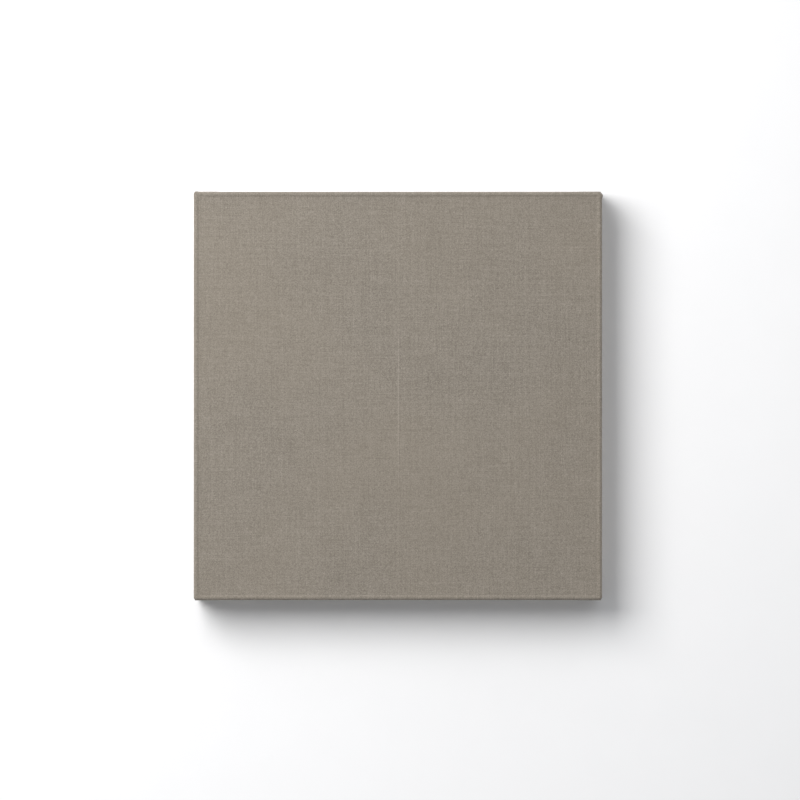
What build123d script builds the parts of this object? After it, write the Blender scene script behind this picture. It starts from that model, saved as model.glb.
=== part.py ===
from build123d import *
import os

# A gallery-wrapped stretched canvas: cloth over four keyed, mitred stretcher bars, with its staples, corner keys,
# hanger and wall bumpers. Millimetres. +Z is up, +X is to the right seen from the front, and the cloth's face looks
# along -Y. The origin is the middle of the whole object's bottom edge. Everything is drawn about the middle of the
# canvas and lifted by half its height at the end, so that one bar serves for all four sides.

# Driving dimensions
SIDE = 305.0  # width and height over the cloth
DEPTH = 38.0  # from the face to the thickest folds on the back
CLOTH = 0.5  # thickness of the primed linen
CORNER_LAYERS = 3  # layers of cloth where the back flaps fold over each other
FIT_GAP = 0.05  # between cloth and wood, and in the mitre joints
FLAP = 22.0  # width of the cloth turned over on the back

BAR_WIDTH = 38.0
BEAD_WIDTH = 2.0  # the rounded bead along the outer front edge that lifts the cloth off the bar
BEAD_DROP = 2.5  # from the bead's crown to the bar's face beside it
BEAD_FOOT = 4.0  # how far the bead's inner side leans
BEVEL_DROP = 2.0  # the face falls this much more towards its inner edge
BEAD_RADIUS = 1.5
EASED_RADIUS = 1.0  # sanded edges
CORNER_RADIUS = 2.5  # the frame's four outer corners, sanded so that the cloth turns them softly

TONGUE = 5.0  # height of a slot in the corner joint
BACK_CHEEK = 8.0  # wood behind the rear slot
MIDDLE_CHEEK = 6.0  # wood between the two slots
SLIDE_GAP = 0.1  # clearance on each side of a tongue or key
TONGUE_SHORT = 0.5  # a tongue stops this far short of the outer face

KEY_TIP_INSET = 8.0  # from the bar's outer face to the key's tip
KEY_TIP = 5.0  # width of the key at its tip
KEY_HEAD = 14.0  # width of the key at its head
KEY_PROUD = 10.0  # how far a seated key stands out of the bar's inner edge
KEY_EASED = 1.0

STAPLE_CROWN = 12.0
STAPLE_WIRE = 0.6
STAPLE_WIDTH = 1.25
STAPLE_LEG = 8.0
STAPLE_INSET = 12.0  # from the outer face to the row of staples
STAPLE_PITCH = 45.0
STAPLES_A_SIDE = 5
STAPLE_TILT = 5.0  # hand-driven staples lean to one side and the other, degrees
CORNER_STAPLE_INSET = 32.0  # from the corner, along the flap

HANGER_LENGTH = 44.0
HANGER_HEIGHT = 9.0
HANGER_SHEET = 0.8
HANGER_RISE = 2.0  # how far the toothed middle stands off the wood
HANGER_EAR = 8.0  # flat end that the nail goes through
HANGER_RAMP = 2.0
HANGER_EDGE_GAP = 4.0  # from the bar's inner edge up to the hanger
TOOTH_DEPTH = 2.4
TEETH = 9
NAIL_HEAD_RADIUS = 2.1
NAIL_HEAD = 0.7
NAIL_RADIUS = 0.8
NAIL_HOLE_RADIUS = 1.0
NAIL_LENGTH = 11.0

BUMPER_RADIUS = 5.5
BUMPER_HEIGHT = 3.0
BUMPER_INSET = 13.0  # from both edges of a lower corner
BUMPER_EASED = 1.2

# Levels in depth, from the face to the wall
FACE_Y = -(DEPTH + BUMPER_HEIGHT) / 2
WOOD_FRONT_Y = FACE_Y + CLOTH + FIT_GAP
FOLDS_Y = FACE_Y + DEPTH
FLAP_INSIDE_Y = FOLDS_Y - CORNER_LAYERS * CLOTH
FLAP_Y = FLAP_INSIDE_Y + CLOTH
WOOD_BACK_Y = FLAP_INSIDE_Y - FIT_GAP
REAR_SLOT = (WOOD_BACK_Y - BACK_CHEEK - TONGUE, WOOD_BACK_Y - BACK_CHEEK)
FRONT_SLOT = (REAR_SLOT[0] - MIDDLE_CHEEK - TONGUE, REAR_SLOT[0] - MIDDLE_CHEEK)

# Distances from the middle of the canvas
CLOTH_EDGE = SIDE / 2
WOOD_EDGE = CLOTH_EDGE - CLOTH - FIT_GAP
INNER_EDGE = WOOD_EDGE - BAR_WIDTH
KEY_LENGTH = BAR_WIDTH - KEY_TIP_INSET + KEY_PROUD
KEY_SLOPE = (KEY_HEAD - KEY_TIP) / KEY_LENGTH
PAST = 1.0  # cutters run this far past what they cut

# Quarter turns from the bottom bar to each bar, with the name of the side that each of its ends points to
BARS = [("bottom", "right", "left"), ("left", "bottom", "top"), ("top", "left", "right"), ("right", "top", "bottom")]


def on_side(shape, turns):
    """Turn a shape from the bottom side to another side, and lift it to its height over the origin."""
    return Pos(0, 0, SIDE / 2) * Rot(0, 90 * turns, 0) * shape


def prism(corners, low_y, high_y):
    """A straight prism between two depths, from (x, z) corners."""
    outline = Polyline([(x, high_y, z) for x, z in corners], close=True)
    return extrude(make_face(outline), amount=high_y - low_y, dir=(0, -1, 0))


def wrapped_block(half_width, front_y, back_y, front_radius):
    """A square block with its four front edges rounded."""
    block = Pos(0, (front_y + back_y) / 2, 0) * Box(2 * half_width, back_y - front_y, 2 * half_width)
    front_edges = block.faces().sort_by(Axis.Y)[0].edges()
    return fillet(front_edges, front_radius)


def canvas_cloth():
    """The cloth: face, four sides, flaps turned over on the back and the thicker folds at the back corners."""
    cloth = wrapped_block(CLOTH_EDGE, FACE_Y, FLAP_Y, BEAD_RADIUS + CLOTH)
    cloth -= wrapped_block(CLOTH_EDGE - CLOTH, FACE_Y + CLOTH, FLAP_INSIDE_Y, BEAD_RADIUS)
    opening = 2 * (CLOTH_EDGE - FLAP)
    cloth -= Pos(0, FLAP_Y, 0) * Box(opening, 4 * CLOTH, opening)
    fold_middle = CLOTH_EDGE - FLAP / 2
    fold_height = FOLDS_Y - FLAP_Y
    for x in (-fold_middle, fold_middle):
        for z in (-fold_middle, fold_middle):
            cloth += Pos(x, FLAP_Y + fold_height / 2, z) * Box(FLAP, fold_height, FLAP)
    return on_side(cloth, 0)


def bar_section():
    """The bar's section in depth and height: rounded bead at the outer front edge, falling face, flat back."""
    face_y = WOOD_FRONT_Y + BEAD_DROP
    outline = FilletPolyline(
        (0, WOOD_FRONT_Y, -WOOD_EDGE),
        (0, WOOD_FRONT_Y, -WOOD_EDGE + BEAD_WIDTH),
        (0, face_y, -WOOD_EDGE + BEAD_WIDTH + BEAD_FOOT),
        (0, face_y + BEVEL_DROP, -INNER_EDGE),
        (0, WOOD_BACK_Y, -INNER_EDGE),
        (0, WOOD_BACK_Y, -WOOD_EDGE),
        radius=[BEAD_RADIUS, BEAD_RADIUS / 2, EASED_RADIUS, EASED_RADIUS, EASED_RADIUS, EASED_RADIUS],
        close=True,
    )
    return make_face(outline)


def key_edge_x(z, gap):
    """The key's slanted edge at a height, moved out by a gap, in the bottom bar's right-hand pocket."""
    tip_z = -WOOD_EDGE + KEY_TIP_INSET
    return INNER_EDGE - SLIDE_GAP - KEY_TIP - KEY_SLOPE * (z - tip_z) - gap


def mitre_cut(low_y, high_y):
    """What a mitre takes off the bar's right-hand end between two depths."""
    corner = WOOD_EDGE + PAST
    inner = INNER_EDGE - PAST
    cut = prism([(corner, -corner), (corner, -inner), (inner, -inner)], low_y, high_y)
    return Pos(-FIT_GAP, 0, 0) * cut


def slot_cut(slot):
    """The slot for the next bar's tongue, with the key's pocket beside it, at the bar's right-hand end."""
    outer = WOOD_EDGE + PAST
    inner = -INNER_EDGE + PAST
    corners = [
        (outer, -outer),
        (outer, inner),
        (key_edge_x(inner, SLIDE_GAP), inner),
        (key_edge_x(-outer, SLIDE_GAP), -outer),
    ]
    return prism(corners, slot[0], slot[1])


def end_cut(tongue_slot, own_slot):
    """All that is cut from the bar's right-hand end: mitre beside the tongue, slot, and the tongue's tip."""
    tongue_low = tongue_slot[0] + SLIDE_GAP
    tongue_high = tongue_slot[1] - SLIDE_GAP
    tip = Pos(WOOD_EDGE - TONGUE_SHORT + PAST, (tongue_low + tongue_high) / 2, -(WOOD_EDGE + INNER_EDGE) / 2) * Box(
        2 * PAST, tongue_high - tongue_low, BAR_WIDTH + 2 * PAST
    )
    front = mitre_cut(WOOD_FRONT_Y - PAST, tongue_low)
    back = mitre_cut(tongue_high, WOOD_BACK_Y + PAST)
    return [tip, front, back, slot_cut(own_slot)]


def sanded_frame():
    """The space of the whole frame of bars, with its four outer corners rounded."""
    block = Box(2 * WOOD_EDGE, 2 * DEPTH, 2 * WOOD_EDGE)
    return fillet(block.edges().filter_by(Axis.Y), CORNER_RADIUS)


def stretcher_bar(turns):
    """One bar. The right-hand end has its tongue in front and its slot behind, and the left-hand end the reverse."""
    bar = Pos(-WOOD_EDGE, 0, 0) * extrude(bar_section(), amount=2 * WOOD_EDGE, dir=(1, 0, 0))
    bar -= end_cut(FRONT_SLOT, REAR_SLOT)
    bar -= [mirror(cut, Plane.YZ) for cut in end_cut(REAR_SLOT, FRONT_SLOT)]
    bar &= sanded_frame()
    return on_side(bar, turns)


def corner_key(turns, right_hand_end):
    """A key seated in one of a bar's two pockets. Its straight edge runs along the next bar's tongue."""
    slot = REAR_SLOT if right_hand_end else FRONT_SLOT
    straight_x = INNER_EDGE - SLIDE_GAP
    tip_z = -WOOD_EDGE + KEY_TIP_INSET
    head_z = tip_z + KEY_LENGTH
    key = prism(
        [
            (straight_x, tip_z),
            (straight_x, head_z),
            (straight_x - KEY_HEAD, head_z),
            (straight_x - KEY_TIP, tip_z),
        ],
        slot[0] + 2 * SLIDE_GAP,
        slot[1] - 2 * SLIDE_GAP,
    )
    key = chamfer(key.edges().filter_by(Axis.Y), KEY_EASED)
    if not right_hand_end:
        key = mirror(key, Plane.YZ)
    return on_side(key, turns)


def staple(x, z, tilt):
    """A driven staple: crown across the cloth on the back, two chisel-pointed legs in the wood."""
    half = STAPLE_CROWN / 2
    inner = half - STAPLE_WIRE
    top_y = FLAP_Y + STAPLE_WIRE
    tip_y = top_y - STAPLE_LEG
    outline = FilletPolyline(
        (half, tip_y),
        (half, top_y),
        (-half, top_y),
        (-half, tip_y),
        (-inner, tip_y + STAPLE_WIRE),
        (-inner, FLAP_Y),
        (inner, FLAP_Y),
        (inner, tip_y + STAPLE_WIRE),
        radius=[0, STAPLE_WIRE / 2, STAPLE_WIRE / 2, 0, 0, 0, 0, 0],
        close=True,
    )
    wire = Pos(0, 0, -STAPLE_WIDTH / 2) * extrude(make_face(outline), amount=STAPLE_WIDTH, dir=(0, 0, 1))
    return Pos(x, 0, z) * Rot(0, tilt, 0) * wire


def side_staples(turns):
    """The row of staples along one flap."""
    z = -CLOTH_EDGE + STAPLE_INSET
    middle = (STAPLES_A_SIDE - 1) / 2
    row = []
    for index in range(STAPLES_A_SIDE):
        tilt = STAPLE_TILT if index % 2 else -STAPLE_TILT
        row.append(on_side(staple((index - middle) * STAPLE_PITCH, z, tilt), turns))
    return Compound(children=row)


def corner_staples():
    """The staples beside the folds, two at each corner."""
    x = CLOTH_EDGE - CORNER_STAPLE_INSET
    z = -CLOTH_EDGE + STAPLE_INSET
    group = []
    for turns in range(len(BARS)):
        group.append(on_side(staple(-x, z, -2 * STAPLE_TILT), turns))
        group.append(on_side(staple(x, z, 2 * STAPLE_TILT), turns))
    return Compound(children=group)


def hanger_low_z():
    """Height of the hanger's lower edge above the middle of the canvas."""
    return INNER_EDGE + HANGER_EDGE_GAP


def sawtooth_hanger():
    """A strip with two flat ears on the wood, a raised middle and teeth along the middle's lower edge."""
    half = HANGER_LENGTH / 2
    ear = half - HANGER_EAR
    raised = ear - HANGER_RAMP
    wood_y = WOOD_BACK_Y
    raised_y = wood_y + HANGER_RISE
    outline = Polyline(
        (-half, wood_y),
        (-ear, wood_y),
        (-raised, raised_y),
        (raised, raised_y),
        (ear, wood_y),
        (half, wood_y),
        (half, wood_y + HANGER_SHEET),
        (ear, wood_y + HANGER_SHEET),
        (raised, raised_y + HANGER_SHEET),
        (-raised, raised_y + HANGER_SHEET),
        (-ear, wood_y + HANGER_SHEET),
        (-half, wood_y + HANGER_SHEET),
        close=True,
    )
    low_z = hanger_low_z()
    strip = Pos(0, 0, low_z) * extrude(make_face(outline), amount=HANGER_HEIGHT, dir=(0, 0, 1))
    ear_corners = strip.edges().filter_by(Axis.Y).group_by(Axis.X)
    strip = fillet(ear_corners[0] + ear_corners[-1], HANGER_HEIGHT / 3)
    for x in nail_places():
        strip -= Pos(x, wood_y, low_z + HANGER_HEIGHT / 2) * Rot(90, 0, 0) * Cylinder(NAIL_HOLE_RADIUS, 4 * HANGER_SHEET)
    pitch = 2 * raised / TEETH
    for index in range(TEETH):
        x = -raised + (index + 0.5) * pitch
        notch = [(x - pitch / 2, low_z), (x - pitch / 2, low_z - PAST), (x + pitch / 2, low_z - PAST)]
        notch += [(x + pitch / 2, low_z), (x, low_z + TOOTH_DEPTH)]
        strip -= prism(notch, raised_y - PAST, raised_y + HANGER_SHEET + PAST)
    return on_side(strip, 0)


def nail_places():
    """Where the two nails are, left and right of the middle."""
    place = (HANGER_LENGTH - HANGER_EAR) / 2
    return (-place, place)


def hanger_nails():
    """Two round-headed nails through the hanger's ears."""
    head_y = WOOD_BACK_Y + HANGER_SHEET
    z = hanger_low_z() + HANGER_HEIGHT / 2
    nails = []
    for x in nail_places():
        head = Pos(x, head_y + NAIL_HEAD / 2, z) * Rot(90, 0, 0) * Cylinder(NAIL_HEAD_RADIUS, NAIL_HEAD)
        head = fillet(head.edges().sort_by(Axis.Y)[-1], NAIL_HEAD / 2)
        shank = Pos(x, head_y - NAIL_LENGTH / 2, z) * Rot(90, 0, 0) * Cylinder(NAIL_RADIUS, NAIL_LENGTH)
        nails.append(on_side(head + shank, 0))
    return Compound(children=nails)


def wall_bumper(x_sign):
    """A stick-on bumper over the folds of a lower back corner."""
    place = CLOTH_EDGE - BUMPER_INSET
    disc = Pos(x_sign * place, FOLDS_Y + BUMPER_HEIGHT / 2, -place) * Rot(90, 0, 0)
    bumper = disc * Cylinder(BUMPER_RADIUS, BUMPER_HEIGHT)
    bumper = fillet(bumper.edges().sort_by(Axis.Y)[-1], BUMPER_EASED)
    return on_side(bumper, 0)


def pieces():
    """Every piece by its node name."""
    named = {"canvas_cloth": canvas_cloth()}
    for turns, (side, right_end, left_end) in enumerate(BARS):
        named[f"stretcher_bar_{side}"] = stretcher_bar(turns)
        named[f"key_{side}_bar_{right_end}"] = corner_key(turns, True)
        named[f"key_{side}_bar_{left_end}"] = corner_key(turns, False)
        named[f"staples_{side}"] = side_staples(turns)
    named["corner_staples"] = corner_staples()
    named["sawtooth_hanger"] = sawtooth_hanger()
    named["hanger_nails"] = hanger_nails()
    named["bumper_left"] = wall_bumper(-1)
    named["bumper_right"] = wall_bumper(1)
    return named


os.makedirs("parts", exist_ok=True)
for name, shape in pieces().items():
    export_step(shape, f"parts/{name}.step")
    print(name, round(shape.volume, 1))
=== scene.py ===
import math
import random

import bpy
import numpy as np
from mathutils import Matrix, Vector


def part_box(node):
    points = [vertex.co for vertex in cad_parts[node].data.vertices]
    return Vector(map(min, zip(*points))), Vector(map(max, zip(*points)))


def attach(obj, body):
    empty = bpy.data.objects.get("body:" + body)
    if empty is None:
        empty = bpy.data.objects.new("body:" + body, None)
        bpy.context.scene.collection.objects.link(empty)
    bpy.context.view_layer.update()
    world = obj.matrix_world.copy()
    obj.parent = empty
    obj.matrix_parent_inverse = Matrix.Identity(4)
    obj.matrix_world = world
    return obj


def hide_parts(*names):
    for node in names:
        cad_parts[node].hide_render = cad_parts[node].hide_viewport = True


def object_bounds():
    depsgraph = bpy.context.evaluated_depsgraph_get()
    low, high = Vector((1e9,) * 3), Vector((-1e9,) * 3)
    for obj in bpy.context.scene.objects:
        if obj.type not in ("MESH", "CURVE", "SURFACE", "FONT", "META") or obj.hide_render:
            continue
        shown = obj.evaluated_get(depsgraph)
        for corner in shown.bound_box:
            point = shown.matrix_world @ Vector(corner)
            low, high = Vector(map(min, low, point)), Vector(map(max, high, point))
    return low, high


# The looks of a gallery-wrapped stretched canvas: fine taupe linen folded over keyed pine stretcher bars,
# hung on a pale wall. The cloth is worked out in millimetres from the canvas's middle, and placed in metres.

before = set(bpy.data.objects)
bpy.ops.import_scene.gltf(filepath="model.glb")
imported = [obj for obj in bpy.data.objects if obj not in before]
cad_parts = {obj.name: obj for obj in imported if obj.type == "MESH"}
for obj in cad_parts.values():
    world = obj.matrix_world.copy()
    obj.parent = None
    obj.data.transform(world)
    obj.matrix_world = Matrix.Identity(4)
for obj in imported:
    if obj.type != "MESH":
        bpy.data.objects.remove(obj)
cad_low, cad_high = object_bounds()

MM = 0.001
BODY = "stretched_frame"
STAPLE_NODES = ("staples_top", "staples_bottom", "staples_left", "staples_right", "corner_staples")
cloth_low, cloth_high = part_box("canvas_cloth")
bar_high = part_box("stretcher_bar_bottom")[1]

# Sizes from the frame, in millimetres
HALF = (cloth_high.x - cloth_low.x) / 2 / MM
MIDDLE_Z = (cloth_low.z + cloth_high.z) / 2 / MM
FACE_Y = cloth_low.y / MM
WOOD_BACK_Y = bar_high.y / MM
WALL_Y = cad_high.y / MM

# The cloth, in millimetres
CLOTH = 0.5  # thickness
FIT_GAP = 0.05  # between cloth and wood
FLAP = 22.0  # width turned over on the back
RIM_RADIUS = 2.0  # outside of the cloth where it turns over the bead
BACK_RADIUS = 1.5  # outside of the cloth where it turns on to the back
DIP = 0.5  # how far the face lies behind the rim's crown
DIP_START = 4.0  # from the outer edge to where the face begins to rise to the rim
DIP_END = 2.3  # from the outer edge to the rim's crown
TAB = 15.0  # how far a flap's end is folded under itself at the corner
DRAPE = 3.6  # width of the slope where cloth comes down off the layers under it
CORNER_ROUND = 1.1  # radius of the upright corner edges, seen from the front
SQUARE_DEPTH = 16.0  # the folds have pulled the corner edges square by this far behind the rim
FOLD_ROUND = 0.3  # radius of a folded edge
FLAP_SHORT = 0.5  # a folded flap end stops this far short of the corner edge
SIDE_FLAP_SHORT = 0.8  # a side's flap stops this far short of the top and bottom edges
FACE_SLACK = 0.05  # unevenness of the face and of the rim
FLAP_SLACK = 0.16  # how far the flaps' free edges stand up between staples
STAPLE_HOLD = 8.0  # how far round itself a staple holds the cloth down
STAPLE_SPREAD = 14.0  # longer than a staple, shorter than the way to the next
RAGGED = 0.35  # unevenness of a hand-cut edge

# Loose threads, in millimetres
THREAD_RADIUS = 0.11
THREAD_LIE = 0.14  # from the back of the wood to the middle of a thread that lies on it
FRAY_ROOT = 0.6  # the threads start this far inside the flap's cut edge
FRAY_GAPS = (0.6, 2.4)  # least and most from one thread to the next
FRAY_LENGTHS = (0.9, 1.2, 1.5, 1.9, 2.6)
LONG_FRAY = (7, 14)
LONG_FRAY_SHARE = 0.035

# What the hand-made corners do, by the signs of x and z: out to the side, up past the edge, extra rounding
CORNER_HABITS = {
    (1, 1): (0.7, -0.1, 1.3),
    (-1, 1): (0.1, 0.3, 0.4),
    (-1, -1): (0.0, 0.0, 0.7),
    (1, -1): (0.05, 0.0, 0.9),
}

# The weave, in metres, and its colours as they look, from 0 to 255
THREADS = 2000.0  # to the metre
SLACK_THREAD_X = 0.0003
SLACK_THREAD_Z = -0.005
LINEN_DARK = (110, 103, 93)
LINEN_MIDDLE = (141, 134, 124)
LINEN_LIGHT = (170, 163, 153)
LINEN_WARM = (0.27, 0.232, 0.182, 1.0)  # in the renderer's linear terms

# Where in the log each bar was cut, in metres: along the grain, across it and through the depth
PINE_PLACES = {
    "bottom": (0.05, 0.02, 0.045),
    "left": (0.4, 0.17, 0.055),
    "top": (0.83, -0.33, 0.05),
    "right": (1.19, -0.19, 0.06),
}

# Plain, worn and tarnished colours of each metal, and its roughness
GALVANISED = ((196, 198, 201), (224, 225, 226), (150, 150, 151), 0.3)
BRASS_PLATE = ((222, 190, 124), (236, 212, 156), (172, 136, 82), 0.3)
BRASS_NAILS = ((226, 194, 128), (238, 216, 162), (168, 132, 80), 0.25)

# The studio, in metres
ROOM = 12.0  # half its width
FLOOR_Z = -0.6
WALL_COLOUR = (247, 248, 250)
KEY_WAY = Vector((-0.47, -0.78, 0.412))  # from the canvas to the key light
KEY_DISTANCE = 1.6
KEY_SIZE = 1.09
KEY_POWER = 28.0
KEY_COLOUR = (1.0, 0.985, 0.965)
SURROUND_LEVEL = 0.42  # light from the surround at the horizon
SURROUND_RISE = 0.33  # how much stronger it is from straight above
SURROUND_COLOUR = (0.985, 0.99, 1.0, 1.0)
SEEN_COLOUR = (0.71, 0.72, 0.73, 1.0)  # what the camera sees past the wall and floor
CAMERA_DISTANCE = 3.0
CAMERA_LENS = 180.9
CAMERA_RIGHT = 0.00157  # the canvas is a little left of the middle of the picture
CAMERA_DOWN = 0.00306  # and a little above it

# Soft lights that show the canvas's back: place from the middle of the canvas, size, power and colour
BACK_LIGHTS = {
    "back_light": ((-1.3, 1.9, 1.3), 1.2, 55, (1.0, 0.99, 0.97)),
    "back_fill": ((1.6, 1.7, 0.2), 1.4, 22, (0.97, 0.98, 1.0)),
}


def smooth_step(x):
    """0 below 0, 1 above 1, and smooth between."""
    x = np.clip(x, 0.0, 1.0)
    return x * x * (3 - 2 * x)


def bell(x, width):
    """1 at 0, falling smoothly on both sides."""
    return np.exp(-((x / width) ** 2))


def fold_turn(distance):
    """0 on a folded edge, rising round the fold to 1."""
    return np.sqrt(1 - (1 - np.clip(distance / FOLD_ROUND, 0, 1)) ** 2)


# Lengths along the cloth from the middle of the face to where each stretch of its section ends
EDGE = HALF - CLOTH / 2
CROWN_Y = FACE_Y + CLOTH / 2
FLAP_Y = WOOD_BACK_Y + FIT_GAP + CLOTH / 2
RIM_MIDDLE_RADIUS = RIM_RADIUS - CLOTH / 2
BACK_MIDDLE_RADIUS = BACK_RADIUS - CLOTH / 2
RIM_START = EDGE - RIM_MIDDLE_RADIUS
SIDE_START = RIM_START + RIM_MIDDLE_RADIUS * math.pi / 2
SIDE_LENGTH = FLAP_Y - CROWN_Y - RIM_MIDDLE_RADIUS - BACK_MIDDLE_RADIUS
BACK_TURN = SIDE_START + SIDE_LENGTH
FLAP_START = BACK_TURN + BACK_MIDDLE_RADIUS * math.pi / 2
CLOTH_END = FLAP_START + FLAP - BACK_RADIUS


def section(s):
    """The cloth's section at length s from the middle of the face.

    Gives its distance from the middle, its dip behind the crown, its depth behind the crown plane, and the
    sideways and backward parts of its outward direction.
    """
    rim_turn = np.clip((s - RIM_START) / RIM_MIDDLE_RADIUS, 0, math.pi / 2)
    back_turn = np.clip((s - BACK_TURN) / BACK_MIDDLE_RADIUS, 0, math.pi / 2)
    along_side = np.clip(s - SIDE_START, 0, SIDE_LENGTH)
    along_flap = np.clip(s - FLAP_START, 0, None)
    out = np.minimum(s, RIM_START) + RIM_MIDDLE_RADIUS * np.sin(rim_turn)
    out = out - BACK_MIDDLE_RADIUS * (1 - np.cos(back_turn)) - along_flap
    dip = DIP * (1 - smooth_step((s - (HALF - DIP_START)) / (DIP_START - DIP_END)))
    depth = RIM_MIDDLE_RADIUS * (1 - np.cos(rim_turn)) + along_side
    depth = depth + BACK_MIDDLE_RADIUS * np.sin(back_turn)
    sideways = np.where(s < SIDE_START, np.sin(rim_turn), np.cos(back_turn))
    backward = np.where(s < SIDE_START, -np.cos(rim_turn), np.sin(back_turn))
    return out, dip, depth, sideways, backward


def cloth_lines():
    """Places of the grid lines along half the cloth, close together where the cloth bends."""
    rise_start = HALF - DIP_START - 0.4
    spans = [
        (0.0, 112.0, 5.0),
        (112.0, rise_start, 1.3),
        (rise_start, RIM_START, 0.33),
        (RIM_START, SIDE_START - 0.3, 0.33),
        (SIDE_START - 0.3, SIDE_START + 0.3, 0.15),
        (SIDE_START + 0.3, SIDE_START + 1.5, 0.4),
        (SIDE_START + 1.5, SIDE_START + 4.5, 0.9),
        (SIDE_START + 4.5, BACK_TURN, 1.3),
        (BACK_TURN, FLAP_START, 0.33),
        (FLAP_START, CLOTH_END, 1.6),
    ]
    lines = []
    for start, end, step in spans:
        count = max(1, round((end - start) / step))
        lines += [start + (end - start) * i / count for i in range(count)]
    lines.append(CLOTH_END)
    return lines


def wander(along, seed):
    """A gentle uneven line, about -1 to 1, with waves from 7 to 61 mm long."""
    total = 0
    for i, wave in enumerate((61.0, 37.0, 19.0, 11.0, 7.3)):
        total = total + np.sin(along * 2 * math.pi / wave + seed * (1.7 + i) + i * i) / (i + 1.6)
    return total / 1.6


def layers_rise(depth_in, inward, on_back):
    """How far the outer cloth of a top or bottom side lies off the wood over the corner's folded layers.

    depth_in is how far back from the rim, inward how far from the corner edge, and on_back 0 on the side to 1
    on the back. On the side the layers fill a triangle; on the back they are the other flap and folded tab.
    """
    grown = 0.22 * smooth_step(depth_in / 3.0) + 0.78 * smooth_step(depth_in / 18.0)
    rise = 0
    for on_back_limit in (FLAP, TAB):
        limit = np.minimum(depth_in, SIDE_LENGTH) * (1 - on_back) + on_back_limit * on_back
        rise = rise + smooth_step((limit + DRAPE - inward) / DRAPE)
    return CLOTH * grown * rise


def round_corner(x, z, radius, squared):
    """Round the upright corner edge to a radius, by less where it is pulled square."""
    corner_x = x - (EDGE - radius)
    corner_z = z - (EDGE - radius)
    both = (corner_x > 0) & (corner_z > 0)
    reach = np.hypot(corner_x, corner_z)
    shrink = np.where(both, np.maximum(corner_x, corner_z) / np.maximum(reach, 1e-9), 1.0)
    shrink = 1 - (1 - shrink) * (1 - squared)
    x = np.where(both, EDGE - radius + corner_x * shrink, x)
    z = np.where(both, EDGE - radius + corner_z * shrink, z)
    return x, z


def fold_ears(x, y, z, out, up):
    """The ears and bumps that hand-made folds leave at the front corners, by how far they go out and up."""
    at_front = bell(y - CROWN_Y - 2.5, 4.5)
    ear = out * at_front * bell(EDGE - z - 2.8, 1.5) * smooth_step((x - (HALF - 3.5)) / 3)
    bump = up * at_front * bell(EDGE - x - 1.7, 1.6) * smooth_step((z - (HALF - 3.5)) / 3)
    return x + ear, z + bump


def face_slack(u, v):
    """How far back the face and the rim lie, because cloth is never perfectly flat."""
    furthest = np.maximum(np.abs(u), np.abs(v))
    on_face = smooth_step((HALF - DIP_START - furthest) / 12)
    waves = on_face * (wander(u * 0.35 + v * 0.1, 2) + wander(v * 0.3, 5))
    on_rim = smooth_step((furthest - (HALF - DIP_START)) / 2) * smooth_step((SIDE_START - furthest) / 2)
    waves = waves + on_rim * wander(np.where(np.abs(u) > np.abs(v), v, u), 3)
    return FACE_SLACK * waves


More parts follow.
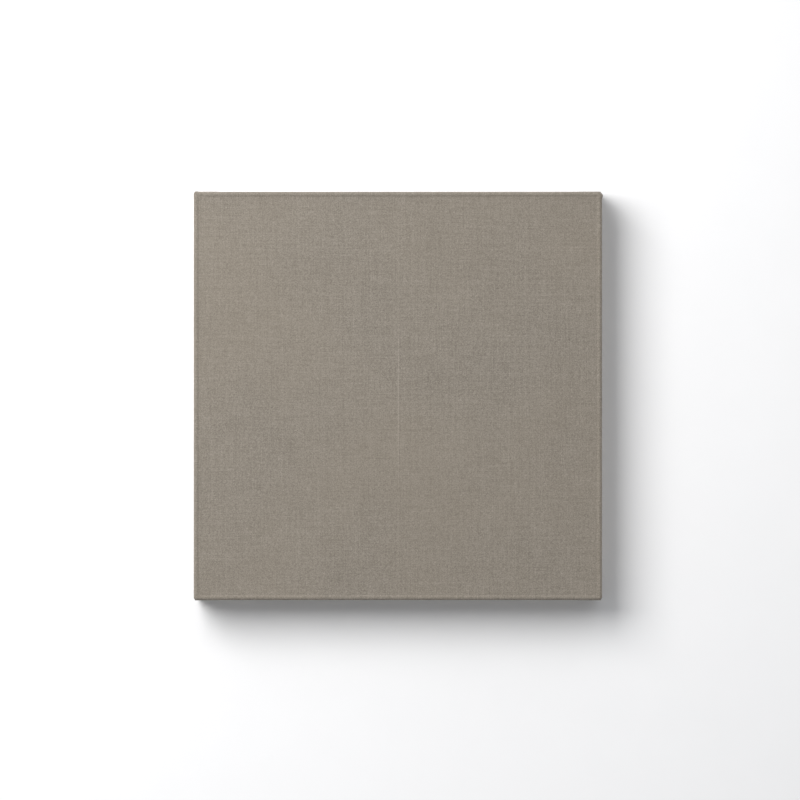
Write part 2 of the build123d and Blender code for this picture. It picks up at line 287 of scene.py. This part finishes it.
def folded(u, v):
    """Where points of the flat cloth lie when it is stretched, in millimetres from the canvas's middle."""
    sign_x = np.where(u < 0, -1.0, 1.0)
    sign_z = np.where(v < 0, -1.0, 1.0)
    along_u = np.abs(u)
    along_v = np.abs(v)
    past_u = along_u - SIDE_START
    past_v = along_v - SIDE_START
    in_corner = (past_u > 1e-6) & (past_v > 1e-6)
    under = in_corner & (past_v >= past_u)  # the fold's middle layer, joined to the top or bottom side
    inner = in_corner & ~under  # the layer on the wood, joined to the left or right side
    top_side = ~in_corner & (past_v > 0)

    # Each layer lies along the top or bottom: its distance from the corner edge, and its length along there
    flat_v = np.where(inner, along_u, along_v)
    out_u, dip_u, depth_u, _, _ = section(np.where(in_corner, SIDE_START, along_u))
    out_v, dip_v, depth_v, sideways, backward = section(flat_v)
    inward = np.where(under, past_u, np.where(inner, past_v, 0.0))
    x = np.where(in_corner, EDGE - inward, out_u)
    z = out_v

    # Two sides' rims meet in a softened mitre
    deepest = np.maximum(depth_u, depth_v)
    mitre = (depth_u**6 + depth_v**6) ** (1 / 6) - deepest
    near_corner = np.exp(-np.clip(past_u, 0, None) - np.clip(past_v, 0, None))
    y = CROWN_Y + np.minimum(dip_u, dip_v) + deepest + mitre * near_corner

    # Round the upright corner edge, except where the folded layers stand square on it
    habits = [0, 0, 0]
    for (corner_x, corner_z), habit in CORNER_HABITS.items():
        here = (sign_x == corner_x) & (sign_z == corner_z)
        habits = [so_far + here * amount for so_far, amount in zip(habits, habit)]
    depth_in = np.clip(flat_v - SIDE_START, 0, SIDE_LENGTH)
    folded_edge = np.where(under, smooth_step((past_v - past_u) / 0.5), np.where(top_side, 1.0, 0.0))
    squared = folded_edge * smooth_step(depth_in / SQUARE_DEPTH)
    x, z = round_corner(x, z, CORNER_ROUND + habits[2], squared)

    # Lift the folded layers off each other
    on_back = smooth_step((flat_v - BACK_TURN) / (FLAP_START - BACK_TURN))
    from_edge = np.where(top_side, EDGE - x, inward)
    at_edge = layers_rise(depth_in, 0.0 * from_edge, on_back)
    edge_turn = fold_turn(from_edge)
    split = 1 - fold_turn(np.abs(past_u - past_v))
    outer_lift = np.where(
        from_edge < FOLD_ROUND, at_edge * (0.75 + 0.25 * edge_turn), layers_rise(depth_in, from_edge, on_back)
    )
    under_lift = at_edge * (0.5 + 0.25 * (1 - edge_turn) - 0.25 * split)
    inner_lift = at_edge * 0.25 * split
    lift = np.where(top_side, outer_lift, np.where(under, under_lift, np.where(inner, inner_lift, 0.0)))
    z = z + lift * sideways
    y = y + lift * np.maximum(backward, 0)

    # The side flaps stop short of the rounded back edge that the top and bottom flaps come over
    side_back = ~in_corner & (past_u > 0) & (along_u > BACK_TURN)
    z = z - side_back * SIDE_FLAP_SHORT * smooth_step((z - (EDGE - 3)) / 3)
    x = x - FLAP_SHORT * (top_side | under) * on_back * smooth_step((x - (EDGE - 3)) / 3)

    x, z = fold_ears(x, y, z, habits[0], habits[1])
    y = y + face_slack(u, v)
    return x * sign_x, y, z * sign_z


def flap_slack(x, y, z, staples):
    """Lift of the flaps between their staples, which hold them down."""
    on_flap = smooth_step((y - (FLAP_Y - 0.15)) / 0.1)
    from_middle = np.maximum(np.abs(x), np.abs(z))
    from_end = np.clip(from_middle - (HALF - FLAP), 0, None)
    free_edge = bell(from_end, 7.0) * smooth_step((EDGE - from_middle) / 3)
    held = np.zeros_like(x)
    for place_x, place_z in staples:
        held = np.maximum(held, bell(np.hypot(x - place_x, z - place_z), STAPLE_HOLD))
    puff = np.clip(FLAP_SLACK + 0.12 * wander(x + z, 4), 0, None)
    return on_flap * (1 - held) * (0.06 + puff * free_edge)


def staple_places():
    """The middle of each staple, in millimetres from the middle of the canvas."""
    places = []
    for name in STAPLE_NODES:
        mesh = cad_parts[name].data
        points = np.array([tuple(v.co) for v in mesh.vertices]) / MM
        points[:, 2] -= MIDDLE_Z
        while len(points):
            near = np.hypot(points[:, 0] - points[0, 0], points[:, 2] - points[0, 2]) < STAPLE_SPREAD
            low = points[near].min(axis=0)
            high = points[near].max(axis=0)
            places.append(((low[0] + high[0]) / 2, (low[2] + high[2]) / 2))
            points = points[~near]
    return places


def ragged_edge(u, v):
    """Shift the cut edges of the flat cloth by the unevenness of a hand cut."""
    end_u = np.where(np.abs(u) > CLOTH_END - 1, 1.0, 0.0)
    end_v = np.where(np.abs(v) > CLOTH_END - 1, 1.0, 0.0)
    du = end_u * (RAGGED * wander(v, 7) - 0.3) * np.sign(u)
    dv = end_v * (RAGGED * wander(u, 8) - 0.3) * np.sign(v)
    return u + du, v + dv


def is_cut_away(u, v):
    """Whether the flat cloth is trimmed off at this place, in the corners behind the folds."""
    past_u = abs(u) - SIDE_START
    past_v = abs(v) - SIDE_START
    if past_u < 0 or past_v < 0:
        return False
    if max(past_u, past_v) < SIDE_LENGTH:
        return False
    return past_u > TAB or past_v < SIDE_LENGTH


def make_mesh_object(name, points, faces):
    """A mesh object from points in metres, with smooth faces."""
    mesh = bpy.data.meshes.new(name)
    mesh.from_pydata([tuple(p) for p in points], [], faces)
    mesh.validate()
    mesh.polygons.foreach_set("use_smooth", [True] * len(mesh.polygons))
    thing = bpy.data.objects.new(name, mesh)
    bpy.context.scene.collection.objects.link(thing)
    return thing


def cloth_faces(lines):
    """The grid's faces by their corners' numbers, split along the corner folds, and their flat area."""
    count = len(lines)
    faces = []
    area = 0.0
    for i in range(count - 1):
        for j in range(count - 1):
            middle_u = (lines[i] + lines[i + 1]) / 2
            middle_v = (lines[j] + lines[j + 1]) / 2
            if is_cut_away(middle_u, middle_v):
                continue
            area += (lines[i + 1] - lines[i]) * (lines[j + 1] - lines[j]) * MM * MM
            a = i * count + j
            b = (i + 1) * count + j
            c = b + 1
            d = a + 1
            in_corner = min(abs(middle_u), abs(middle_v)) > SIDE_START
            on_fold = in_corner and abs(abs(middle_u) - abs(middle_v)) < 1e-6
            if on_fold and middle_u * middle_v > 0:
                faces += [(a, b, c), (a, c, d)]
            elif on_fold:
                faces += [(a, b, d), (b, c, d)]
            else:
                faces.append((a, b, c, d))
    return faces, area


def thicken(cloth):
    """Give the sheet its thickness. Edges that turn by more than 50 degrees stay crisp."""
    modifier = cloth.modifiers.new("thickness", "SOLIDIFY")
    modifier.thickness = CLOTH * MM
    modifier.offset = 0
    finished = bpy.data.meshes.new_from_object(cloth.evaluated_get(bpy.context.evaluated_depsgraph_get()))
    finished.set_sharp_from_angle(angle=math.radians(50))
    cloth.modifiers.clear()
    cloth.data = finished


def make_cloth():
    """The wrapped cloth as one thick sheet, with its flat places as a UV map in metres, and its flat area."""
    half_lines = cloth_lines()
    lines = [-s for s in reversed(half_lines[1:])] + half_lines
    u, v = np.meshgrid(np.array(lines), np.array(lines), indexing="ij")
    cut_u, cut_v = ragged_edge(u, v)
    x, y, z = folded(cut_u, cut_v)
    y = y + flap_slack(x, y, z, staple_places())
    points = np.stack([x * MM, y * MM, (z + MIDDLE_Z) * MM], axis=-1).reshape(-1, 3)
    faces, area = cloth_faces(lines)
    used = sorted({k for face in faces for k in face})
    renumber = {k: n for n, k in enumerate(used)}
    faces = [tuple(renumber[k] for k in face) for face in faces]
    cloth = make_mesh_object("linen_cloth", points[used], faces)
    flat = np.stack([u, v], axis=-1).reshape(-1, 2)[used] * MM
    flat_map = cloth.data.uv_layers.new(name="flat_cloth")
    corners = np.zeros(len(cloth.data.loops), np.int32)
    cloth.data.loops.foreach_get("vertex_index", corners)
    flat_map.data.foreach_set("uv", flat[corners].astype(np.float32).ravel())
    thicken(cloth)
    return cloth, area


def thread_path(start, heading, length, lie_y, wild):
    """Points of one loose thread lying on the back, in metres."""
    points = []
    x, y, z = start
    steps = 4
    for i in range(steps):
        points.append((x * MM, y * MM, (z + MIDDLE_Z) * MM))
        x += math.cos(heading) * length / (steps - 1)
        z += math.sin(heading) * length / (steps - 1)
        y += (lie_y - y) * 0.6 + random.uniform(0, 0.12)
        heading += random.uniform(-wild, wild)
    return points


def add_thread(curve, path):
    """Add one thread to the curve of all of them."""
    spline = curve.splines.new("NURBS")
    spline.points.add(len(path) - 1)
    for point, place in zip(spline.points, path):
        point.co = (*place, 1)
    spline.order_u = 3
    spline.use_endpoint_u = True


def make_fray():
    """The threads that stand out of the cut edges of the flaps on the back."""
    random.seed(11)
    curve = bpy.data.curves.new("linen_fray", "CURVE")
    curve.dimensions = "3D"
    curve.bevel_depth = THREAD_RADIUS * MM
    curve.bevel_resolution = 1
    curve.resolution_u = 3
    edge = HALF - FLAP
    lie_y = WOOD_BACK_Y + THREAD_LIE
    for turn in range(4):
        inward = math.pi / 2 + turn * math.pi / 2
        over_side_flaps = turn % 2 == 0
        reach = EDGE - 4 if over_side_flaps else edge - 2
        along = -reach
        while along < reach:
            along += random.uniform(*FRAY_GAPS)
            start_x = math.cos(inward - math.pi / 2) * along - math.cos(inward) * (edge + FRAY_ROOT)
            start_z = math.sin(inward - math.pi / 2) * along - math.sin(inward) * (edge + FRAY_ROOT)
            start_y = FLAP_Y + (2 * CLOTH if over_side_flaps and abs(along) > edge else 0.0)
            length = random.choice(FRAY_LENGTHS)
            heading = inward + random.uniform(-0.5, 0.5)
            if random.random() < LONG_FRAY_SHARE:
                length = random.uniform(*LONG_FRAY)
                heading = inward + random.choice([-1, 1]) * random.uniform(0.9, 1.4)
            add_thread(curve, thread_path((start_x, start_y, start_z), heading, length, lie_y, 0.5))
    fray = bpy.data.objects.new("linen_fray", curve)
    bpy.context.scene.collection.objects.link(fray)
    return fray


# Materials


def linear(red, green, blue):
    """A colour given as it looks, 0 to 255, in the renderer's linear terms."""
    parts = []
    for value in (red, green, blue):
        value /= 255
        parts.append(value / 12.92 if value <= 0.04045 else ((value + 0.055) / 1.055) ** 2.4)
    return (*parts, 1.0)


class Tree:
    """A material's nodes, with short calls for the kinds used here. A socket given as a value is linked."""

    def __init__(self, name):
        self.material = bpy.data.materials.new(name)
        self.material.use_nodes = True
        self.tree = self.material.node_tree
        self.shader = self.tree.nodes["Principled BSDF"]
        self.output = self.tree.nodes["Material Output"]

    def put(self, socket, value):
        if isinstance(value, bpy.types.NodeSocket):
            self.tree.links.new(value, socket)
        elif value is not None:
            socket.default_value = value

    def node(self, kind, inputs=(), **settings):
        """A node with its settings, and its inputs by name or number."""
        made = self.tree.nodes.new(kind)
        for name, value in settings.items():
            setattr(made, name, value)
        for key, value in dict(inputs).items():
            self.put(made.inputs[key], value)
        return made

    def math(self, operation, a, b=None, c=None):
        return self.node("ShaderNodeMath", {0: a, 1: b, 2: c}, operation=operation).outputs[0]

    def times(self, a, b):
        return self.math("MULTIPLY", a, b)

    def add_share(self, value, share, total):
        return self.math("MULTIPLY_ADD", value, share, total)

    def vector(self, x, y, z):
        return self.node("ShaderNodeCombineXYZ", {0: x, 1: y, 2: z}).outputs[0]

    def split(self, vector):
        return self.node("ShaderNodeSeparateXYZ", {0: vector}).outputs

    def scaled(self, parts, along_scale, cross_scale):
        """A place with its part along the grain scaled apart from its other two."""
        along, across, through = parts
        return self.vector(
            self.times(along, along_scale), self.times(across, cross_scale), self.times(through, cross_scale)
        )

    def noise(self, vector, scale, detail=2.0, roughness=0.5, distortion=0.0):
        inputs = {"Vector": vector, "Scale": scale, "Detail": detail, "Roughness": roughness}
        inputs["Distortion"] = distortion
        return self.node("ShaderNodeTexNoise", inputs).outputs["Fac"]

    def fit(self, value, low, high, new_low, new_high, smooth=False):
        """Value moved from one range to another, and kept in it."""
        kind = "SMOOTHSTEP" if smooth else "LINEAR"
        inputs = {"Value": value, "From Min": low, "From Max": high, "To Min": new_low, "To Max": new_high}
        return self.node("ShaderNodeMapRange", inputs, interpolation_type=kind).outputs[0]

    def choose(self, second, a, b):
        """Number a or, where second is 1, number b."""
        return self.node("ShaderNodeMix", {0: second, 2: a, 3: b}, data_type="FLOAT").outputs[0]

    def blend(self, share, a, b, kind="MIX"):
        """Colour a with a share of colour b."""
        made = self.node("ShaderNodeMix", {0: share, 6: a, 7: b}, data_type="RGBA", blend_type=kind)
        return made.outputs[2]

    def ramp(self, value, stops):
        """The colour at a value between stops, whose colours are given as they look."""
        made = self.node("ShaderNodeValToRGB", {0: value})
        ends = made.color_ramp.elements
        while len(ends) < len(stops):
            ends.new(0.5)
        for end, (place, colour) in zip(ends, stops):
            end.position = place
            end.color = linear(*colour)
        return made.outputs[0]

    def bump(self, height, distance, strength=1.0, normal=None):
        inputs = {"Height": height, "Distance": distance, "Strength": strength}
        if normal is not None:
            inputs["Normal"] = normal
        return self.node("ShaderNodeBump", inputs).outputs[0]

    def place(self):
        """The place on the object, in metres."""
        return self.node("ShaderNodeTexCoord").outputs["Object"]

    def finish(self, **values):
        """Set the shader's sockets, with _ for a space in a name."""
        for name, value in values.items():
            self.put(self.shader.inputs[name.replace("_", " ")], value)
        return self.material


def weave(t, across, up):
    """A plain weave: its height, where the warp is on top, and the numbers of the warp and weft threads."""
    numbers = []
    waves = []
    flips = []
    for place in (across, up):
        thread = t.times(place, THREADS)
        numbers.append(t.math("FLOOR", thread))
        waves.append(t.math("COSINE", t.times(t.math("SUBTRACT", thread, 0.5), math.pi)))
    for number in numbers:
        flips.append(t.math("COSINE", t.times(number, math.pi)))
    warp_over = t.add_share(t.times(waves[1], flips[0]), 0.45, 0.55)
    weft_over = t.add_share(t.times(waves[0], flips[1]), -0.45, 0.55)
    warp_height = t.times(t.math("ABSOLUTE", waves[0]), warp_over)
    weft_height = t.times(t.math("ABSOLUTE", waves[1]), weft_over)
    height = t.math("MAXIMUM", warp_height, weft_height)
    warp_shows = t.math("GREATER_THAN", warp_height, weft_height)
    return height, warp_shows, numbers[0], numbers[1]


def thread_tone(t, number, along, seed, reach):
    """Tone of each thread along its length: uneven yarn, and now and then a thick slub."""
    step = t.times(number, 7.13)
    slow = t.noise(t.vector(step, t.times(along, reach), seed), 1.0, 2.0, 0.6)
    thread = t.noise(t.vector(step, seed + 5.3, 0.0), 1.0, 0.0)
    fast = t.noise(t.vector(step, t.times(along, reach * 16), seed + 9.1), 1.0, 1.0)
    tone = t.add_share(slow, 0.39, t.add_share(thread, 0.12, t.times(fast, 0.49)))
    slub = t.noise(t.vector(step, t.times(along, reach * 0.8), seed + 21.7), 1.0, 0.0)
    return tone, t.fit(slub, 0.68, 0.8, 0.0, 1.0, True)


def slack_thread(t, across, up):
    """Where the one slack warp thread, a little lighter than the rest, runs up near the middle."""
    beside = t.math("ABSOLUTE", t.math("SUBTRACT", across, SLACK_THREAD_X))
    off_middle = t.math("ABSOLUTE", t.math("SUBTRACT", up, SLACK_THREAD_Z))
    return t.times(t.fit(beside, 0.00025, 0.0004, 1.0, 0.0), t.fit(off_middle, 0.025, 0.06, 1.0, 0.25))


def linen_material(name, coordinates):
    """Fine plain-woven taupe linen, woven thread by thread from the flat cloth's coordinates, with painted
    shade in the gaps between threads.
    """
    t = Tree(name)
    if coordinates == "uv":
        flat = t.node("ShaderNodeUVMap", uv_map="flat_cloth").outputs[0]
        across, up, _ = t.split(flat)
    else:
        flat = t.place()
        across, _, up = t.split(flat)
    height, warp_shows, warp_number, weft_number = weave(t, across, up)
    warp_tone, warp_slub = thread_tone(t, warp_number, up, 1.0, 38.0)
    weft_tone, weft_slub = thread_tone(t, weft_number, across, 40.0, 34.0)
    tone = t.choose(warp_shows, weft_tone, warp_tone)
    slub = t.choose(warp_shows, weft_slub, warp_slub)

    mottle = t.noise(flat, 16.0, 3.0, 0.55)
    blotch = t.noise(flat, 60.0, 2.0, 0.5)
    crossing_place = t.vector(warp_number, weft_number, 0.0)
    crossing = t.node("ShaderNodeTexWhiteNoise", {"Vector": crossing_place}).outputs["Value"]
    fibre = t.noise(flat, 5200.0, 1.0)
    for variation, share in ((mottle, 0.05), (blotch, 0.05), (crossing, 0.20), (fibre, 0.10)):
        tone = t.add_share(t.math("SUBTRACT", variation, 0.5), share, tone)
    tone = t.add_share(slub, 0.05, tone)
    tone = t.add_share(slack_thread(t, across, up), 0.16, tone)

    colour = t.ramp(tone, [(0.25, LINEN_DARK), (0.50, LINEN_MIDDLE), (0.75, LINEN_LIGHT)])
    # Painted shade: the colour is darkened where the weave lies low, in the gaps between threads
    painted_gap_shade = t.fit(height, 0.05, 0.7, 0.62, 1.0)
    colour = t.blend(1.0, colour, t.vector(painted_gap_shade, painted_gap_shade, painted_gap_shade), "MULTIPLY")
    warmth = t.noise(flat, 7.0, 2.0)
    colour = t.blend(t.fit(warmth, 0.35, 0.65, 0.0, 0.22), colour, LINEN_WARM)
    relief = t.add_share(slub, 0.35, t.add_share(fibre, 0.12, height))
    normal = t.bump(relief, 0.00016, 0.75)
    normal = t.bump(blotch, 0.0006, 0.12, normal)
    roughness = t.fit(tone, 0.2, 0.8, 0.9, 0.78)
    return t.finish(
        Base_Color=colour,
        Roughness=roughness,
        Normal=normal,
        Specular_IOR_Level=0.3,
        Sheen_Weight=0.4,
        Sheen_Roughness=0.35,
    )


def wood_place(t, grain_axis, offset):
    """Place along the grain, across it and through the depth, in metres, each piece cut from its own spot."""
    parts = t.split(t.place())
    turned = (parts[grain_axis], parts[2 - grain_axis], parts[1])
    return [t.math("ADD", part, shift) for part, shift in zip(turned, offset)]


def growth_rings(t, place, near_knot):
    """How dark the late wood of a pine's rings is, at a place cut out of the log."""
    sway = t.noise(t.scaled(place, 5.0, 14.0), 1.0, 2.0)
    bend = t.add_share(sway, 0.011, t.times(near_knot, 0.006))
    distance = t.node("ShaderNodeVectorMath", {0: t.scaled(place, 0.03, 1.0)}, operation="LENGTH")
    from_pith = t.math("ADD", distance.outputs["Value"], bend)
    seasons = t.noise(t.vector(t.times(from_pith, 120.0), 0.0, 0.0), 1.0, 2.0)
    rings = t.add_share(from_pith, 400.0, t.times(seasons, 4.0))
    ring = t.math("FRACT", rings)
    late_wood = t.times(t.math("POWER", ring, 3.2), t.fit(ring, 0.93, 1.0, 1.0, 0.0))
    year = t.noise(t.vector(t.times(t.math("FLOOR", rings), 3.7), 0.0, 0.0), 1.0, 0.0)
    return t.times(late_wood, t.fit(year, 0.3, 0.7, 0.4, 1.0))


def pine_material(name, grain_axis, offset):
    """Planed pine: growth rings that run out along the bar, resin streaks, fine fibres and a few knots."""
    t = Tree(name)
    place = wood_place(t, grain_axis, offset)
    knot_place = t.scaled(place, 0.22, 1.0)
    knots = t.node("ShaderNodeTexVoronoi", {"Vector": knot_place, "Scale": 27.0, "Randomness": 1.0})
    near_knot = t.fit(knots.outputs["Distance"], 0.0, 0.33, 1.0, 0.0, True)
    near_knot = t.times(near_knot, t.math("GREATER_THAN", t.split(knots.outputs["Color"])[0], 0.80))
    late_wood = growth_rings(t, place, near_knot)
    fibre = t.noise(t.scaled(place, 26.0, 1500.0), 1.0, 3.0, 0.6)
    streak = t.noise(t.scaled(place, 9.0, 190.0), 1.0, 2.0)
    colour = t.ramp(late_wood, [(0.0, (208, 182, 143)), (0.45, (194, 162, 120)), (1.0, (160, 120, 79))])
    colour = t.blend(t.fit(streak, 0.42, 0.72, 0.0, 0.45), colour, linear(184, 147, 104))
    colour = t.blend(t.fit(fibre, 0.35, 0.7, 0.0, 0.30), colour, linear(160, 122, 83))
    colour = t.blend(t.fit(near_knot, 0.35, 0.75, 0.0, 0.9), colour, linear(112, 66, 36))
    normal = t.bump(t.add_share(late_wood, 0.5, fibre), 0.00012, 0.6)
    roughness = t.fit(fibre, 0.3, 0.7, 0.52, 0.72)
    return t.finish(Base_Color=colour, Roughness=roughness, Normal=normal, Specular_IOR_Level=0.35)


def beech_material(name, grain_axis, offset):
    """Sawn beech: close plain grain with short dark flecks and the fine ridges of the saw."""
    t = Tree(name)
    place = wood_place(t, grain_axis, offset)
    fleck = t.noise(t.scaled(place, 420.0, 2600.0), 1.0, 1.0)
    grain = t.noise(t.scaled(place, 14.0, 420.0), 1.0, 3.0, 0.6, 0.3)
    cloud = t.noise(t.vector(*place), 45.0, 2.0)
    saw = t.math("SINE", t.times(t.math("ADD", place[0], t.times(cloud, 0.002)), 5200.0))
    colour = t.ramp(grain, [(0.3, (208, 168, 130)), (0.55, (192, 149, 110)), (0.75, (168, 123, 86))])
    colour = t.blend(t.fit(fleck, 0.62, 0.7, 0.0, 0.55), colour, linear(110, 70, 44))
    colour = t.blend(t.fit(cloud, 0.4, 0.7, 0.0, 0.3), colour, linear(206, 164, 124))
    height = t.add_share(saw, 0.25, t.add_share(fleck, -0.5, grain))
    normal = t.bump(height, 0.0001, 0.6)
    roughness = t.fit(grain, 0.3, 0.7, 0.5, 0.68)
    return t.finish(Base_Color=colour, Roughness=roughness, Normal=normal, Specular_IOR_Level=0.35)


def metal_material(name, base, worn, tarnish, rough):
    """Plated metal, worn lighter in patches and tarnished in others, with fine drawn lines and scratches."""
    t = Tree(name)
    place = t.place()
    cloud = t.noise(place, 260.0, 3.0, 0.6)
    spots = t.noise(place, 1400.0, 2.0, 0.6)
    drawn = t.noise(t.scaled(t.split(place), 90.0, 5200.0), 1.0, 2.0)
    colour = t.blend(t.fit(cloud, 0.35, 0.7, 0.0, 0.8), linear(*base), linear(*worn))
    colour = t.blend(t.fit(spots, 0.6, 0.8, 0.0, 0.45), colour, linear(*tarnish))
    spotted = t.fit(spots, 0.45, 0.8, rough, rough + 0.15)
    roughness = t.math("ADD", spotted, t.fit(drawn, 0.3, 0.7, 0.0, 0.1))
    normal = t.bump(t.add_share(drawn, 0.6, t.times(spots, 0.3)), 0.00003, 0.35)
    return t.finish(Base_Color=colour, Metallic=1.0, Roughness=roughness, Normal=normal)


def rubber_material(name):
    """Matt dark rubber with a fine moulded grain and a little pale dust."""
    t = Tree(name)
    place = t.place()
    grain = t.noise(place, 3800.0, 2.0, 0.6)
    dust = t.noise(place, 420.0, 3.0, 0.65)
    colour = t.ramp(grain, [(0.35, (38, 38, 40)), (0.65, (52, 52, 54))])
    colour = t.blend(t.fit(dust, 0.55, 0.75, 0.0, 0.35), colour, linear(120, 116, 110))
    normal = t.bump(grain, 0.00008, 0.6)
    roughness = t.fit(dust, 0.4, 0.7, 0.55, 0.8)
    return t.finish(Base_Color=colour, Roughness=roughness, Normal=normal, Specular_IOR_Level=0.4)


def set_material(thing, material):
    """Give every slot of an object the material, or its first one if it has none."""
    if not thing.material_slots:
        thing.data.materials.append(material)
    for slot in thing.material_slots:
        slot.material = material


def dress_cad_nodes():
    """Materials for the CAD nodes that stay: wood with its grain along each piece, metal and rubber."""
    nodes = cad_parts
    for side, place in PINE_PLACES.items():
        grain_axis = 0 if side in ("bottom", "top") else 2
        set_material(nodes["stretcher_bar_" + side], pine_material("pine_" + side, grain_axis, place))
    for i, name in enumerate(sorted(n for n in nodes if n.startswith("key_"))):
        grain_axis = 2 if name.split("_")[1] in ("bottom", "top") else 0
        place = (0.27 * i, 0.061 * i, 0.037 * i)
        set_material(nodes[name], beech_material("beech_" + name, grain_axis, place))
    galvanised = metal_material("galvanised_wire", *GALVANISED)
    for name in STAPLE_NODES:
        set_material(nodes[name], galvanised)
    set_material(nodes["sawtooth_hanger"], metal_material("brass_plate", *BRASS_PLATE))
    set_material(nodes["hanger_nails"], metal_material("brass_nails", *BRASS_NAILS))
    for name in ("bumper_left", "bumper_right"):
        set_material(nodes[name], rubber_material("rubber_" + name))


# The studio


def stage_plane(name, corners, material):
    """A flat piece of the studio from its four corners, in metres."""
    plane = make_mesh_object(name, corners, [(0, 1, 2, 3)])
    set_material(plane, material)
    return plane


def wall_material():
    """Pale plaster from the front, and nothing from behind, so that the canvas's back can be looked at."""
    t = Tree("pale_wall")
    grain = t.noise(t.place(), 35.0, 3.0)
    colour = t.ramp(grain, [(0.3, WALL_COLOUR), (0.7, [part + 1 for part in WALL_COLOUR])])
    t.finish(Base_Color=colour, Roughness=0.9, Specular_IOR_Level=0.1)
    clear = t.node("ShaderNodeBsdfTransparent")
    backfacing = t.node("ShaderNodeNewGeometry").outputs["Backfacing"]
    mix = t.node("ShaderNodeMixShader", {0: backfacing, 1: t.shader.outputs[0], 2: clear.outputs[0]})
    t.put(t.output.inputs["Surface"], mix.outputs[0])
    return t.material


def floor_material():
    """Pale matt floor."""
    t = Tree("pale_floor")
    grain = t.noise(t.place(), 20.0, 3.0)
    colour = t.ramp(grain, [(0.3, (242, 242, 240)), (0.7, (246, 246, 244))])
    return t.finish(Base_Color=colour, Roughness=0.8)


def area_light(name, place, size, power, colour):
    """A square soft light at a place given from the middle of the canvas, turned to that middle."""
    light = bpy.data.lights.new(name, "AREA")
    light.shape = "SQUARE"
    light.size = size
    light.energy = power
    light.color = colour
    thing = bpy.data.objects.new(name, light)
    bpy.context.scene.collection.objects.link(thing)
    thing.location = Vector((0, 0, MIDDLE_Z * MM)) + Vector(place)
    thing.rotation_euler = (-Vector(place)).to_track_quat("-Z", "Y").to_euler()
    thing.visible_camera = False


def make_surround():
    """The even pale room round the studio: brighter from above than from below, and plain to the camera."""
    world = bpy.data.worlds.new("plain_surround")
    world.use_nodes = True
    tree = world.node_tree
    light = tree.nodes["Background"]
    light.inputs["Color"].default_value = SURROUND_COLOUR
    way = tree.nodes.new("ShaderNodeTexCoord")
    parts = tree.nodes.new("ShaderNodeSeparateXYZ")
    strength = tree.nodes.new("ShaderNodeMath")
    strength.operation = "MULTIPLY_ADD"
    strength.inputs[1].default_value = SURROUND_RISE
    strength.inputs[2].default_value = SURROUND_LEVEL
    tree.links.new(way.outputs["Generated"], parts.inputs[0])
    tree.links.new(parts.outputs["Z"], strength.inputs[0])
    tree.links.new(strength.outputs[0], light.inputs["Strength"])
    seen = tree.nodes.new("ShaderNodeBackground")
    seen.inputs["Color"].default_value = SEEN_COLOUR
    path = tree.nodes.new("ShaderNodeLightPath")
    mix = tree.nodes.new("ShaderNodeMixShader")
    tree.links.new(path.outputs["Is Camera Ray"], mix.inputs[0])
    tree.links.new(light.outputs[0], mix.inputs[1])
    tree.links.new(seen.outputs[0], mix.inputs[2])
    tree.links.new(mix.outputs[0], tree.nodes["World Output"].inputs["Surface"])
    return world


def make_studio():
    """Wall, floor, soft lights and the plain surround."""
    wall_y = WALL_Y * MM
    wall_outline = ((-ROOM, FLOOR_Z), (ROOM, FLOOR_Z), (ROOM, ROOM), (-ROOM, ROOM))
    wall_corners = [(x, wall_y, z) for x, z in wall_outline]
    floor_corners = [(x, y, FLOOR_Z) for x, y in ((-ROOM, -ROOM), (ROOM, -ROOM), (ROOM, ROOM), (-ROOM, ROOM))]
    # The wall stops no light on its way to the back, and the floor throws none up at the canvas
    wall = stage_plane("wall", wall_corners, wall_material())
    wall.visible_shadow = False
    floor = stage_plane("floor", floor_corners, floor_material())
    floor.visible_diffuse = False
    area_light("key_light", KEY_WAY * KEY_DISTANCE, KEY_SIZE, KEY_POWER, KEY_COLOUR)
    for name, settings in BACK_LIGHTS.items():
        area_light(name, *settings)
    bpy.context.scene.world = make_surround()
    bpy.context.scene.view_settings.view_transform = "Standard"


def make_camera():
    """A long lens in front of the canvas, looking straight at it."""
    camera = bpy.data.cameras.new("camera")
    camera.sensor_width = 36
    camera.lens = CAMERA_LENS
    camera.clip_start = 0.05
    camera.clip_end = 30
    thing = bpy.data.objects.new("camera", camera)
    bpy.context.scene.collection.objects.link(thing)
    thing.location = (CAMERA_RIGHT, FACE_Y * MM - CAMERA_DISTANCE, MIDDLE_Z * MM - CAMERA_DOWN)
    thing.rotation_euler = (math.radians(90), 0, 0)
    bpy.context.scene.camera = thing


cloth, cloth_area = make_cloth()
set_material(cloth, linen_material("taupe_linen", "uv"))
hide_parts("canvas_cloth")
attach(cloth, BODY)

fray = make_fray()
set_material(fray, linen_material("linen_threads", "object"))
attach(fray, BODY)

dress_cad_nodes()
make_studio()
make_camera()
